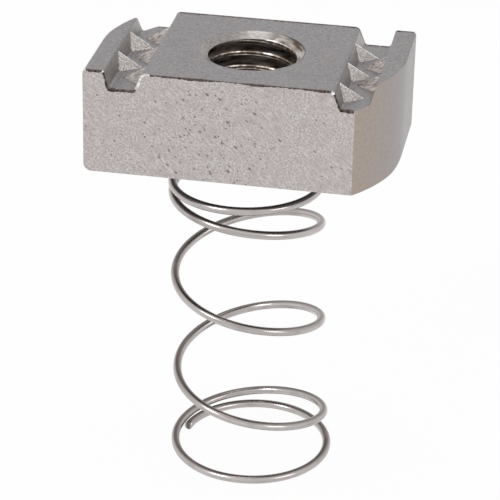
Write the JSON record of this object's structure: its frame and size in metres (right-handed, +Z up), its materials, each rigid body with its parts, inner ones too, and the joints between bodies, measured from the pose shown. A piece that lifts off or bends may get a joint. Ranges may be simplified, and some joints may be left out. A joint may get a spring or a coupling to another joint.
{
  "type": "strut spring nut",
  "caption": "Toothed channel nut with a tapped through hole, lip grooves and cropped corners, carried on a long coil spring that presses it up into a strut channel.",
  "frame": {"origin": "on the thread axis, in the plane that the foot of the spring stands on", "axes": "+Z up along the thread axis from the spring's foot to the toothed face, X along the nut across its two grooves, Y along the grooves"},
  "size_m": [0.0354, 0.02, 0.0525],
  "materials": {
    "nut": "dull zinc plating with fine pits",
    "spring": "bright drawn wire"
  },
  "bodies": {
    "spring": {"spring": "spring"},
    "nut": {"nut": "nut"}
  },
  "joints": [
    {"name": "nut_press", "type": "slide", "parent": "spring", "child": "nut", "axis": [0, 0, -1], "range_m": [0, 0.03], "stiffness_N_per_m": 650, "springref_m": -0.0012, "deforming": ["spring"]}
  ]
}
